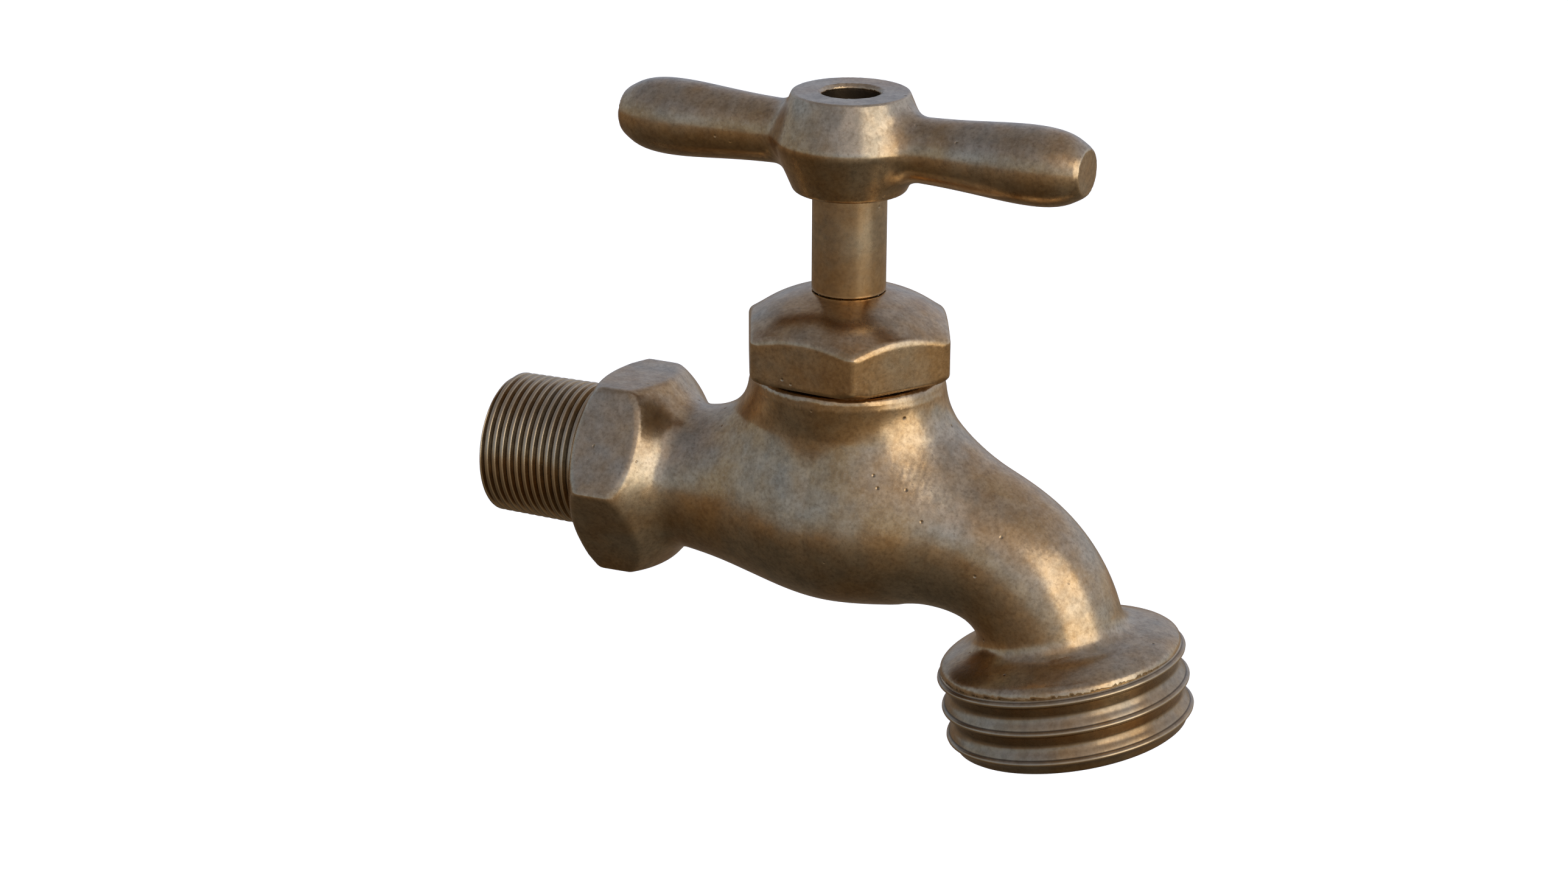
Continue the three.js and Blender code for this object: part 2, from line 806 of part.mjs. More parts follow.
const valve = new THREE.Group();
valve.position.x = STEM_X;
valve.add(
  piece('body_casting', bodyCasting(), PATINA_BRASS),
  piece('seat_ring', seatRing(), CLEAN_BRASS),
  piece('packing_washer', packingWasher(), CLEAN_BRASS),
  piece('packing_ring_1', packingRing(FIRST_RING_Z), GRAPHITE),
  piece('packing_ring_2', packingRing(SECOND_RING_Z), GRAPHITE),
  piece('gland_follower', glandFollower(), CLEAN_BRASS),
  piece('packing_nut', packingNut(), PATINA_BRASS),
  piece('seat_washer', seatWasher(), RUBBER),
  piece('disc_holder', discHolder(), CLEAN_BRASS),
);

const spindle = new THREE.Group();
spindle.add(
  piece('stem', stem(), CLEAN_BRASS),
  piece('retainer_washer', retainerWasher(), CLEAN_BRASS),
  piece('washer_screw', washerScrew(), CLEAN_BRASS),
  piece('stem_sleeve', stemSleeve(), PATINA_BRASS),
  piece('lock_washer', lockWasher(), STEEL),
  piece('handle_screw', handleScrew(), STEEL),
);

const tee = piece('handle', handle(), PATINA_BRASS);
tee.rotation.z = HANDLE.turn;
spindle.add(tee);
valve.add(spindle);

const hoseBib = new THREE.Group();
hoseBib.add(valve);

export default hoseBib;
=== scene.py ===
"""Looks for the hose bib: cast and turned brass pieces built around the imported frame.

The surface of a casting is written as a signed distance, meshed, and drawn onto its zero level.
Shapes are in millimetres from the point where the spindle axis crosses the inlet axis.
"""

import json
import math

import bpy
import numpy as np
from mathutils import Matrix, Vector


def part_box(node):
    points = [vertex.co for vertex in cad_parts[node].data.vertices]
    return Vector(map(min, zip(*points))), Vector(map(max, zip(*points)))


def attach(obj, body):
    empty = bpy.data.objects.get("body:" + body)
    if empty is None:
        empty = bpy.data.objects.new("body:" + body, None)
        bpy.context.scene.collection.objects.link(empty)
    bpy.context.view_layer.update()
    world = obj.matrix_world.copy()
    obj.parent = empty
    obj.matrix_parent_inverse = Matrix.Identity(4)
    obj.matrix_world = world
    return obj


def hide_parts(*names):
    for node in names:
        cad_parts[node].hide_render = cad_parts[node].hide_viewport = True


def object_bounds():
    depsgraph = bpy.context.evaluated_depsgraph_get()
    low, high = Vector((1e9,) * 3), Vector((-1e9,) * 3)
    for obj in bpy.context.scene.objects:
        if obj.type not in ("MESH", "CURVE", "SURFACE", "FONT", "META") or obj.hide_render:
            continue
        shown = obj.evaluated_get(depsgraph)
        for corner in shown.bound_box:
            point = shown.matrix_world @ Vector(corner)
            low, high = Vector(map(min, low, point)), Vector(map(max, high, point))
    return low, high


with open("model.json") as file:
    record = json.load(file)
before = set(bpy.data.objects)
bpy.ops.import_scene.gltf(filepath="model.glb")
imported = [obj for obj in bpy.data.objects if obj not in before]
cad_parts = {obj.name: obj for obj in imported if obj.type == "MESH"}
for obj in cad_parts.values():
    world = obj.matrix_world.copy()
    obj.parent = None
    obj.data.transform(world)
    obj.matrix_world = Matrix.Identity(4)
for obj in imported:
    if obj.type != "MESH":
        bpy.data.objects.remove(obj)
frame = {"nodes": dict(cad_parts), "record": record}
CAD_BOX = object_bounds()

MM = 0.001


SLEEVE_LOW, SLEEVE_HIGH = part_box("stem_sleeve")
STEM_X = (SLEEVE_LOW.x + SLEEVE_HIGH.x) / 2 / MM        # the spindle axis in the CAD, millimetres


def node_box(node):
    """A CAD node's corners in millimetres, in the frame of the shapes below."""
    low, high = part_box(node)
    shift = Vector((STEM_X, 0, 0))
    return low / MM - shift, high / MM - shift


# ---- driving dimensions, millimetres ----

# Spout: distance from the spindle axis, height, radius.
SPOUT = [
    (-24, 0, 8.0),
    (-18, -0.45, 8.05),
    (-10, -1.0, 8.8),
    (0, -1.85, 9.5),
    (8, -1.05, 9.6),
    (14, -2.05, 8.6),
    (19.95, -4.85, 8.0),
    (23.95, -10.7, 7.85),
    (24.5, -15.2, 8.1),
]
GLOBE_WIDENING = 0.23           # the body is this much wider than high around the seat
GLOBE_REACH = 8.5

# Water ways, the same form as the spout.
OUTLET_WAY = [
    (2, 5.4, 3.2),
    (7, 4.9, 3.4),
    (10.5, 2.8, 4.2),
    (14.5, -0.6, 4.9),
    (19.4, -4.9, 5.4),
    (23.5, -10.8, 5.6),
    (24.6, -15.4, 6.0),
    (25.7, -20, 6.2),
]
INLET_WAY = [(-16.5, 0.9, 3.2), (-14, -0.3, 3.2), (0, -7, 3.2)]

NECK_RADIUS = 10.25
NECK_SHOULDER = 14.75
NECK_TOP = 19.5
NECK_STUB_RADIUS = 8.5
NECK_FILLET = 4.4               # blend with the globe at the sides of the body
NECK_FILLET_BACK = 5.6          # added to it towards the wrench hex
NECK_FILLET_FRONT = 4.6         # added to it towards the spout

HEX_FLATS = 21.3
HEX_TURN = math.radians(-1.65)
HEX_AXIS = -0.4                 # height of the hex's centre
HEX_LEFT = -29.2
HEX_RIGHT = -19.0
HEX_CORNER = 12.35
HEX_EDGE = 0.25                 # rounding between the flats
HEX_BEVEL = 0.45                # rounding between the flats and the turned ends
HEX_FILLET = 1.6

INLET_BORE = 5.0
INLET_BORE_END = -14.1
INLET_CREST = 7.95
INLET_TAPER = 0.012
INLET_PITCH = 0.953
INLET_GROOVE_DEPTH = 0.5
INLET_GROOVE_HALF = 0.27
INLET_FIRST_GROOVE = 0.72
INLET_THREAD_END = 12.1
INLET_PIECE_END = 13.6
INLET_CROWN = 0.07              # how far a ridge falls away beside its crest
INLET_RUNOUT = 0.7
INLET_END_ROUND = 0.3

OUTLET_TILT = math.radians(10.9)
OUTLET_CENTRE = (25.35, -14.76)
OUTLET_PITCH = 3.3
OUTLET_ROOT = 12.42
OUTLET_CREST = 13.5
OUTLET_RIM = 8.05
OUTLET_BORE = 6.2
OUTLET_BORE_START = -2.0
OUTLET_RECESS = 9.3
OUTLET_RECESS_DEPTH = 4.5
COLLAR_TOP = -2.8               # along the outlet's axis, which starts at the collar's lower plane
COLLAR_FILLET = 2.2
CASTING_STOP = -0.1             # where the casting ends along that axis

NUT_FLATS = 21.3
NUT_TURN = math.radians(-64.6)
NUT_BORE = 3.75
NUT_SKIRT = 0.3                 # how far the nut's lower edge reaches past the CAD node
NUT_EDGE = 0.3
NUT_BEVEL = 0.55

SLEEVE_BORE = 3.1
SLEEVE_SWELL = 0.04             # how far the sleeve reaches past the CAD node

ARM_TURN = math.radians(-3.5)
ARM_HEIGHT = 40.05
ARM_LENGTH = 26.93
HUB_HOLE = 3.08
HUB_HOLE_FLOOR = 41.2
SOCKET_HALF = 2.25
SOCKET_TOP = 39.9
SCREW_HOLE = 1.5
ARM_FILLET = 1.7

FAR_INSIDE = -5.0               # a distance that trims nothing
HOLE_SHADE_CURVATURE = -0.8                # the curvature given to vertices deep in a hole, so that they get painted shade

# Mesh grids: one for the casting, a finer one for the nut and the handle.
BODY_STEP = 0.36
FINE_STEP = 0.24


# ---- outlines ----

def spline(points, count):
    """A natural cubic spline through the points, sampled evenly along its chords."""
    points = np.array(points, float)
    chord = np.concatenate([[0], np.cumsum(np.linalg.norm(np.diff(points, axis=0), axis=1))])
    steps = np.diff(chord)
    n = len(points)
    system = np.eye(n)
    right = np.zeros_like(points)
    for i in range(1, n - 1):
        system[i, i - 1] = steps[i - 1]
        system[i, i] = 2 * (steps[i - 1] + steps[i])
        system[i, i + 1] = steps[i]
        slopes = (points[i + 1] - points[i]) / steps[i] - (points[i] - points[i - 1]) / steps[i - 1]
        right[i] = 6 * slopes
    bends = np.linalg.solve(system, right)
    at = np.linspace(0, chord[-1], count)
    i = np.clip(np.searchsorted(chord, at, side="right") - 1, 0, n - 2)
    h = steps[i][:, None]
    a = (chord[i + 1] - at)[:, None] / h
    b = (at - chord[i])[:, None] / h
    curve = a * points[i] + b * points[i + 1]
    return curve + ((a ** 3 - a) * bends[i] + (b ** 3 - b) * bends[i + 1]) * h ** 2 / 6


def rounded(corners, steps=6):
    """A closed outline. A corner given as (u, v, radius) becomes an arc."""
    outline = []
    count = len(corners)
    for i, corner in enumerate(corners):
        here = np.array(corner[:2], float)
        if len(corner) < 3:
            outline.append(here)
            continue
        before = np.array(corners[i - 1][:2], float) - here
        after = np.array(corners[(i + 1) % count][:2], float) - here
        before_unit = before / np.linalg.norm(before)
        after_unit = after / np.linalg.norm(after)
        half = math.acos(np.clip(before_unit @ after_unit, -1, 1)) / 2
        reach = corner[2] / math.tan(half)
        start = here + before_unit * reach
        end = here + after_unit * reach
        bisector = (before_unit + after_unit) / np.linalg.norm(before_unit + after_unit)
        centre = here + bisector * corner[2] / math.sin(half)
        for t in np.linspace(0, 1, steps):
            chordal = start + (end - start) * t - centre
            outline.append(centre + chordal * corner[2] / np.linalg.norm(chordal))
    return np.array(outline)


# ---- signed distances ----

def smooth_min(a, b, width):
    """Joins two solids with a fillet."""
    h = np.maximum(width - np.abs(a - b), 0) / width
    return np.minimum(a, b) - h * h * width / 4


def smooth_max(a, b, width):
    """Keeps what two solids share, with a rounded edge."""
    return -smooth_min(-a, -b, width)


def outline_distance(u, v, outline):
    """Signed distance to a closed outline in the plane."""
    nearest = np.full(np.shape(u), np.inf)
    inside = np.zeros(np.shape(u), bool)
    for (u0, v0), (u1, v1) in zip(outline, np.roll(outline, -1, axis=0)):
        du, dv = u1 - u0, v1 - v0
        length = du * du + dv * dv
        if length < 1e-12:
            continue
        t = np.clip(((u - u0) * du + (v - v0) * dv) / length, 0, 1)
        nearest = np.minimum(nearest, (u - u0 - t * du) ** 2 + (v - v0 - t * dv) ** 2)
        if dv != 0:
            inside ^= ((v0 > v) != (v1 > v)) & (u < u0 + (v - v0) * du / dv)
    return np.where(inside, -1, 1) * np.sqrt(nearest)


class Table:
    """A function of two numbers, kept on a grid and read between its points."""

    def __init__(self, function, low, high, step):
        self.low = np.array(low, float)
        self.step = step
        counts = np.ceil((np.array(high) - self.low) / step).astype(int) + 1
        u = self.low[0] + np.arange(counts[0]) * step
        v = self.low[1] + np.arange(counts[1]) * step
        grid_u, grid_v = np.meshgrid(u, v, indexing="ij")
        self.values = function(grid_u, grid_v)

    def __call__(self, u, v):
        i, s = self.split(u, 0)
        j, t = self.split(v, 1)
        g = self.values
        low_side = g[i, j] * (1 - t) + g[i, j + 1] * t
        high_side = g[i + 1, j] * (1 - t) + g[i + 1, j + 1] * t
        return low_side * (1 - s) + high_side * s

    def split(self, value, axis):
        place = (value - self.low[axis]) / self.step
        place = np.clip(place, 0, self.values.shape[axis] - 1.001)
        whole = place.astype(int)
        return whole, place - whole


def revolved(outline, reach=4.0, step=0.1):
    """Distance to a turned solid, as a function of radius and height."""
    outline = np.array(outline, float)
    low = (0, outline[:, 1].min() - reach)
    high = (outline[:, 0].max() + reach, outline[:, 1].max() + reach)
    mirrored = outline * [-1, 1]
    whole = np.vstack([outline, mirrored[::-1]]) if outline[:, 0].min() <= 0 else outline
    return Table(lambda r, z: outline_distance(r, z, whole), low, high, step)


def planar_tube(stations, samples=120, step=0.25, reach=16):
    """Distance to a round bar of changing radius whose centreline lies in the mid-plane."""
    curve = spline(stations, samples)
    low = curve[:, :2].min(0) - reach
    high = curve[:, :2].max(0) + reach

    def nearest(x, z):
        best = np.full(x.shape, np.inf)
        radius = np.zeros(x.shape)
        for start, end in zip(curve[:-1], curve[1:]):
            run = end[:2] - start[:2]
            t = ((x - start[0]) * run[0] + (z - start[1]) * run[1]) / (run @ run)
            t = np.clip(t, 0, 1)
            d = (x - start[0] - t * run[0]) ** 2 + (z - start[1] - t * run[1]) ** 2
            closer = d < best
            best = np.where(closer, d, best)
            radius = np.where(closer, start[2] + t * (end[2] - start[2]), radius)
        return np.sqrt(best), radius

    offset = Table(lambda x, z: nearest(x, z)[0], low, high, step)
    radius = Table(lambda x, z: nearest(x, z)[1], low, high, step)
    return lambda x, y, z: np.hypot(offset(x, z), y) - radius(x, z)


def hexagon(u, v, flats, turn, softness):
    """Distance to a hexagonal bar with a corner at the given turn."""
    angle = np.arctan2(v, u) - turn
    radius = np.hypot(u, v)
    sector = np.mod(angle, math.pi / 3) - math.pi / 6
    here = radius * np.cos(sector) - flats / 2
    beside = radius * np.cos(math.pi / 3 - np.abs(sector)) - flats / 2
    return smooth_max(here, beside, softness)


# ---- meshes ----

def crossed_edges(value, axis):
    """Grid edges whose ends differ in sign: their starts, crossing points, and which start inside."""
    first = [slice(None)] * 3
    second = [slice(None)] * 3
    first[axis] = slice(0, -1)
    second[axis] = slice(1, None)
    a, b = value[tuple(first)], value[tuple(second)]
    crossed = (a < 0) != (b < 0)
    a, b = a[crossed], b[crossed]
    edge = np.argwhere(crossed)
    point = edge.astype(float)
    point[:, axis] += a / (a - b)
    return edge, point, a < 0


def cells_back(edge, axes, back):
    """The cell that lies so many steps back along two axes, for each edge."""
    cell = edge.copy()
    cell[:, axes] -= back
    return cell


def quads_round(crossings, number):
    """A quad between the numbered cells round every crossed edge, facing out."""
    last = np.array(number.shape) - 1
    quads = []
    for others, (edge, _, starts_inside) in zip(([1, 2], [2, 0], [0, 1]), crossings):
        ring = []
        for back in ((1, 1), (0, 1), (0, 0), (1, 0)):
            cell = np.clip(cells_back(edge, others, back), 0, last)
            ring.append(number[tuple(cell.T)])
        quad = np.stack(ring, 1)
        quad[~starts_inside] = quad[~starts_inside][:, ::-1]
        quads.append(quad)
    faces = np.vstack(quads)
    return faces[(faces >= 0).all(1)]


def surface_nets(distance, low, high, step):
    """Meshes the zero level of a distance with quads, and draws the vertices onto it."""
    counts = np.ceil((np.array(high) - np.array(low)) / step).astype(int) + 1
    axes = [low[a] + np.arange(counts[a]) * step for a in range(3)]
    value = distance(*np.meshgrid(*axes, indexing="ij"))
    crossings = [crossed_edges(value, axis) for axis in range(3)]
    cells = tuple(c - 1 for c in value.shape)
    total = np.zeros(cells + (3,))
    hits = np.zeros(cells)
    for others, (edge, point, _) in zip(([1, 2], [0, 2], [0, 1]), crossings):
        for back in ((0, 0), (0, 1), (1, 0), (1, 1)):
            cell = cells_back(edge, others, back)
            ok = ((cell >= 0) & (cell < cells)).all(1)
            index = tuple(cell[ok].T)
            np.add.at(total, index, point[ok])
            np.add.at(hits, index, 1)
    used = hits > 0
    number = np.full(cells, -1)
    number[used] = np.arange(used.sum())
    vertices = total[used] / hits[used][:, None] * step + np.array(low)
    for _ in range(4):
        vertices = drawn_closer(distance, vertices, 0.4 * step)
    return vertices, quads_round(crossings, number)


def drawn_closer(distance, vertices, most):
    """Moves vertices towards the zero level, each by no more than the given length."""
    gradient = slope(distance, vertices)
    size = np.maximum((gradient ** 2).sum(1), 0.05)
    move = gradient * (distance(*vertices.T) / size)[:, None]
    length = np.linalg.norm(move, axis=1, keepdims=True)
    return vertices - move * np.minimum(1, most / np.maximum(length, 1e-9))


def slope(distance, points, reach=0.02):
    """The gradient of a distance at many points."""
    parts = []
    for axis in range(3):
        offset = np.zeros(3)
        offset[axis] = reach
        ahead = distance(*(points + offset).T)
        behind = distance(*(points - offset).T)
        parts.append((ahead - behind) / (2 * reach))
    return np.stack(parts, 1)


def turned_mesh(outline, segments):
    """A turned piece about +Z: the closed outline of (radius, height) swept round."""
    outline = np.array(outline, float)
    angle = np.arange(segments) * 2 * math.pi / segments
    x = np.outer(np.cos(angle), outline[:, 0])
    y = np.outer(np.sin(angle), outline[:, 0])
    z = np.tile(outline[:, 1], (segments, 1))
    return np.stack([x, y, z], -1).reshape(-1, 3), ring_faces(segments, len(outline))


def ring_faces(rings, around):
    """Quads over a grid that closes on itself both ways."""
    i, j = np.meshgrid(np.arange(rings), np.arange(around), indexing="ij")
    here = (i * around + j).ravel()
    along = (((i + 1) % rings) * around + j).ravel()
    across = (((i + 1) % rings) * around + (j + 1) % around).ravel()
    up = (i * around + (j + 1) % around).ravel()
    return np.stack([here, along, across, up], 1)


def threaded_mesh(radius_at, stations, bore, segments):
    """A threaded sleeve about +Z. radius_at gives the outside, bore lists the inside from end to start."""
    angle = np.arange(segments) * 2 * math.pi / segments
    grid_angle, grid_z = np.meshgrid(angle, stations, indexing="ij")
    outside = radius_at(grid_angle, grid_z)
    bore = np.array(bore, float)
    radius = np.hstack([outside, np.tile(bore[:, 0], (segments, 1))])
    z = np.hstack([grid_z, np.tile(bore[:, 1], (segments, 1))])
    turn = angle[:, None]
    vertices = np.stack([radius * np.cos(turn), radius * np.sin(turn), z], -1)
    return vertices.reshape(-1, 3), ring_faces(segments, radius.shape[1])


def facing_out(vertices, faces):
    """Turns the faces over when they enclose a negative volume."""
    a, b, c, d = (vertices[faces[:, i]] for i in range(4))
    volume = (np.cross(b - a, c - a) * a).sum() + (np.cross(c - a, d - a) * a).sum()
    return faces if volume > 0 else faces[:, ::-1]


def vertex_normals(vertices, faces):
    """Normals of the vertices, each the mean of its faces by area."""
    a, b, c, d = (vertices[faces[:, i]] for i in range(4))
    face_normal = np.cross(c - a, d - b)
    normal = np.zeros_like(vertices)
    for i in range(4):
        np.add.at(normal, faces[:, i], face_normal)
    return normal / np.maximum(np.linalg.norm(normal, axis=1, keepdims=True), 1e-12)


def spread(values, faces, passes):
    """Averages a number per vertex with its neighbours."""
    links = np.vstack([faces[:, [0, 1]], faces[:, [1, 2]], faces[:, [2, 3]], faces[:, [3, 0]]])
    count = np.bincount(links.ravel(), minlength=len(values)).astype(float)
    for _ in range(passes):
        total = np.bincount(links[:, 0], values[links[:, 1]], len(values))
        total += np.bincount(links[:, 1], values[links[:, 0]], len(values))
        values = 0.5 * values + 0.5 * total / np.maximum(count, 1)
    return values


def bulge(vertices, faces, normals):
    """Curvature in 1/mm along the surface: positive on outer edges, negative in hollows."""
    links = np.vstack([faces[:, [0, 1]], faces[:, [1, 2]], faces[:, [2, 3]], faces[:, [3, 0]]])
    a, b = links.T
    offset = vertices[b] - vertices[a]
    square = np.maximum((offset ** 2).sum(1), 1e-9)
    along_a = -(offset * normals[a]).sum(1) / square
    along_b = (offset * normals[b]).sum(1) / square
    total = np.bincount(a, along_a, len(vertices)) + np.bincount(b, along_b, len(vertices))
    count = np.bincount(links.ravel(), minlength=len(vertices))
    return spread(total / np.maximum(count, 1), faces, 2)


def add_piece(name, vertices, faces, body, material, replaces, distance=None, painted_shade_where=None):
    """Makes the Blender object from shapes in millimetres. The vertices that the last argument picks are
    darkened as painted shade.
    """
    faces = facing_out(vertices, faces)
    normals = vertex_normals(vertices, faces) if distance is None else slope(distance, vertices)
    normals /= np.maximum(np.linalg.norm(normals, axis=1, keepdims=True), 1e-12)
    curvature = bulge(vertices, faces, normals)
    # Picked vertices get a hollow's curvature, so the brass material paints shade on them.
    if painted_shade_where is not None:
        curvature[painted_shade_where(*vertices.T)] = HOLE_SHADE_CURVATURE
    placed = (vertices + [STEM_X, 0, 0]) * MM
    mesh = bpy.data.meshes.new(name)
    mesh.from_pydata(placed.tolist(), [], faces.tolist())
    mesh.polygons.foreach_set("use_smooth", np.ones(len(mesh.polygons), bool))
    attribute = mesh.attributes.new("bulge", "FLOAT", "POINT")
    attribute.data.foreach_set("value", curvature.astype(np.float32))
    if distance is not None:
        mesh.normals_split_custom_set_from_vertices(normals.tolist())
    mesh.materials.append(material)
    mesh.update()
    piece = bpy.data.objects.new(name, mesh)
    bpy.context.scene.collection.objects.link(piece)
    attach(piece, body)
    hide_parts(replaces)
    return piece


def turn_about_y(points, angle):
    """Rotates points about the Y axis."""
    c, s = math.cos(angle), math.sin(angle)
    x, y, z = points.T
    return np.stack([c * x + s * z, y, -s * x + c * z], 1)


# ---- materials ----

class Tree:
    """Short calls for building a node tree."""

    def __init__(self, tree):
        self.tree = tree

    def add(self, kind, **values):
        node = self.tree.nodes.new(kind)
        for key, value in values.items():
            setattr(node, key, value)
        return node

    def link(self, source, target):
        if isinstance(source, (int, float)):
            target.default_value = source
        elif isinstance(source, tuple):
            target.default_value = source if len(source) == 4 else (*source, 1)
        else:
            self.tree.links.new(source, target)

    def remap(self, value, low, high, to_low=0.0, to_high=1.0):
        node = self.add("ShaderNodeMapRange")
        node.clamp = True
        self.link(value, node.inputs["Value"])
        for socket, number in zip(node.inputs[1:5], (low, high, to_low, to_high)):
            socket.default_value = number
        return node.outputs[0]

    def mix(self, factor, a, b):
        node = self.add("ShaderNodeMix", data_type="RGBA")
        self.link(factor, node.inputs[0])
        self.link(a, node.inputs[6])
        self.link(b, node.inputs[7])
        return node.outputs[2]


class Surface(Tree):
    """A material whose patterns lie in the object's own space."""

    def __init__(self, name):
        self.material = bpy.data.materials.new(name)
        self.material.use_nodes = True
        super().__init__(self.material.node_tree)
        self.shader = self.tree.nodes["Principled BSDF"]
        self.place = self.add("ShaderNodeTexCoord").outputs["Object"]

    def noise(self, scale, detail=4, roughness=0.6, stretch=None):
        node = self.add("ShaderNodeTexNoise")
        place = self.place
        if stretch:
            mapping = self.add("ShaderNodeMapping")
            mapping.inputs["Scale"].default_value = stretch
            self.link(place, mapping.inputs["Vector"])
            place = mapping.outputs[0]
        self.link(place, node.inputs["Vector"])
        node.inputs["Scale"].default_value = scale
        node.inputs["Detail"].default_value = detail
        node.inputs["Roughness"].default_value = roughness
        return node.outputs["Fac"]

    def spots(self, scale):
        node = self.add("ShaderNodeTexVoronoi")
        self.link(self.place, node.inputs["Vector"])
        node.inputs["Scale"].default_value = scale
        return node.outputs["Distance"]

    def attribute(self, name):
        node = self.add("ShaderNodeAttribute", attribute_name=name)
        return node.outputs["Fac"]

    def math(self, operation, a, b=0.0):
        node = self.add("ShaderNodeMath", operation=operation)
        self.link(a, node.inputs[0])
        self.link(b, node.inputs[1])
        return node.outputs[0]

    def bump(self, height, distance, strength=1.0, normal=None):
        node = self.add("ShaderNodeBump")
        node.inputs["Strength"].default_value = strength
        node.inputs["Distance"].default_value = distance
        self.link(height, node.inputs["Height"])
        if normal is not None:
            self.link(normal, node.inputs["Normal"])
        return node.outputs[0]

    def set(self, **values):
        for key, value in values.items():
            self.link(value, self.shader.inputs[key.replace("_", " ")])


def antique_brass(name, casting=1.0, darkness=0.0):
    """Brass with a mottled brown patina, rubbed bright on edges, and darkened in hollows by dark patina
    and painted shade.
    """
    n = Surface(name)
    clouds = n.noise(120, 4, 0.6)
    mottle = n.noise(560, 7, 0.75)
    grain = n.noise(2400, 4, 0.65)
    bulge_value = n.attribute("bulge")
    worn = n.remap(bulge_value, 0.3, 1.1)
    # hollows: the mask for dark patina and painted shade, which also roughens them
    hollow = n.remap(bulge_value, -0.12, -0.8)

    speckle = 0.35 + 0.65 * casting
    warm = n.mix(n.remap(mottle, 0.4, 0.62), (0.5, 0.305, 0.135), (0.66, 0.435, 0.21))
    cool = n.mix(n.remap(mottle, 0.4, 0.62), (0.44, 0.355, 0.235), (0.64, 0.505, 0.33))
    patina = n.mix(n.remap(clouds, 0.38, 0.62), warm, cool)
    patina = n.mix(n.remap(grain, 0.5, 0.7, 0.0, 0.52 * speckle), patina, (0.26, 0.17, 0.09))
    patina = n.mix(n.remap(grain, 0.46, 0.32, 0.0, 0.26 * speckle), patina, (0.84, 0.64, 0.4))
    pits = n.remap(n.spots(330), 0.0, 0.075)
    patina = n.mix(n.remap(pits, 0.2, 0.7, 0.75, 0.0), patina, (0.1, 0.07, 0.045))
    rubbed = n.mix(n.remap(worn, 0, 1, 0, 0.65), patina, (0.9, 0.7, 0.43))
    # dark patina and painted shade in the hollows
    patina_and_painted_shade = n.mix(n.remap(hollow, 0, 1, 0, 0.8), rubbed, (0.1, 0.068, 0.04))
    n.set(Base_Color=n.mix(darkness, patina_and_painted_shade, (0.06, 0.042, 0.026)), Metallic=1.0)

    rough = n.remap(clouds, 0.35, 0.65, 0.225, 0.28)
    rough = n.math("ADD", rough, n.remap(mottle, 0.35, 0.65, 0.035, -0.035))
    rough = n.math("ADD", rough, n.remap(hollow, 0, 1, 0, 0.15))
    n.set(Roughness=rough)

    skin = n.bump(n.noise(420, 4, 0.55), 0.00003 * casting, 0.5)
    skin = n.bump(n.noise(2300, 3, 0.6), 0.00001 * casting, 0.5, skin)
    skin = n.bump(pits, 0.0002 * casting, 0.6, skin)
    n.set(Normal=skin)
    return n.material


def machined_brass():
    """Clean turned brass for the pieces inside."""
    n = Surface("machined_brass")
    tone = n.mix(n.noise(420, 4, 0.6), (0.71, 0.5, 0.24), (0.58, 0.39, 0.18))
    n.set(Base_Color=tone, Metallic=1.0)
    n.set(Roughness=n.remap(n.noise(1500, 3, 0.6, (1, 1, 8)), 0.3, 0.7, 0.2, 0.34))
    n.set(Normal=n.bump(n.noise(900, 3, 0.6, (0.1, 0.1, 6)), 0.00001, 0.5))
    return n.material


def plated_steel():
    """Grey plated steel of the washers and screws."""
    n = Surface("plated_steel")
    tone = n.mix(n.noise(600, 4, 0.6), (0.42, 0.41, 0.39), (0.3, 0.28, 0.25))
    n.set(Base_Color=tone, Metallic=1.0)
    n.set(Roughness=n.remap(n.noise(1800, 3, 0.6), 0.3, 0.7, 0.28, 0.42))
    n.set(Normal=n.bump(n.noise(2500, 3, 0.6), 0.00001, 0.5))
    return n.material


def moulded_rubber():
    """Black rubber of the seat washer."""
    n = Surface("moulded_rubber")
    tone = n.mix(n.noise(900, 4, 0.6), (0.025, 0.025, 0.026), (0.045, 0.044, 0.042))
    n.set(Base_Color=tone)
    n.set(Roughness=n.remap(n.noise(2500, 3, 0.6), 0.3, 0.7, 0.6, 0.78))
    n.set(Normal=n.bump(n.noise(2800, 3, 0.6), 0.00003, 0.5))
    return n.material


def braided_graphite():
    """Black packing cord: a fine diagonal braid with a graphite shine."""
    n = Surface("braided_graphite")
    tone = n.mix(n.noise(1500, 3, 0.6), (0.03, 0.03, 0.033), (0.085, 0.085, 0.09))
    n.set(Base_Color=tone, Metallic=0.25)
    n.set(Roughness=n.remap(n.noise(900, 4, 0.6), 0.3, 0.7, 0.42, 0.6))
    strands = []
    for lean in (1, -1):
        wave = n.add("ShaderNodeTexWave", wave_type="BANDS", bands_direction="DIAGONAL")
        mapping = n.add("ShaderNodeMapping")
        mapping.inputs["Scale"].default_value = (1, 1, lean)
        n.link(n.place, mapping.inputs["Vector"])
        n.link(mapping.outputs[0], wave.inputs["Vector"])
        wave.inputs["Scale"].default_value = 420
        strands.append(wave.outputs["Fac"])
    n.set(Normal=n.bump(n.math("MULTIPLY", *strands), 0.00012, 0.7))
    return n.material


# ---- pieces ----

def neck_outline():
    """The neck, a little waisted, and the stub that carries the nut."""
    return rounded([
        (0, 0),
        (NECK_RADIUS - 0.95, 0),
        (NECK_RADIUS - 0.85, 6.5),
        (NECK_RADIUS - 0.66, 9.6),
        (NECK_RADIUS, NECK_SHOULDER - 1.5),
        (NECK_RADIUS, NECK_SHOULDER, 0.7),
        (NECK_STUB_RADIUS, NECK_SHOULDER),
        (NECK_STUB_RADIUS, NECK_TOP, 0.4),
        (0, NECK_TOP),
    ])


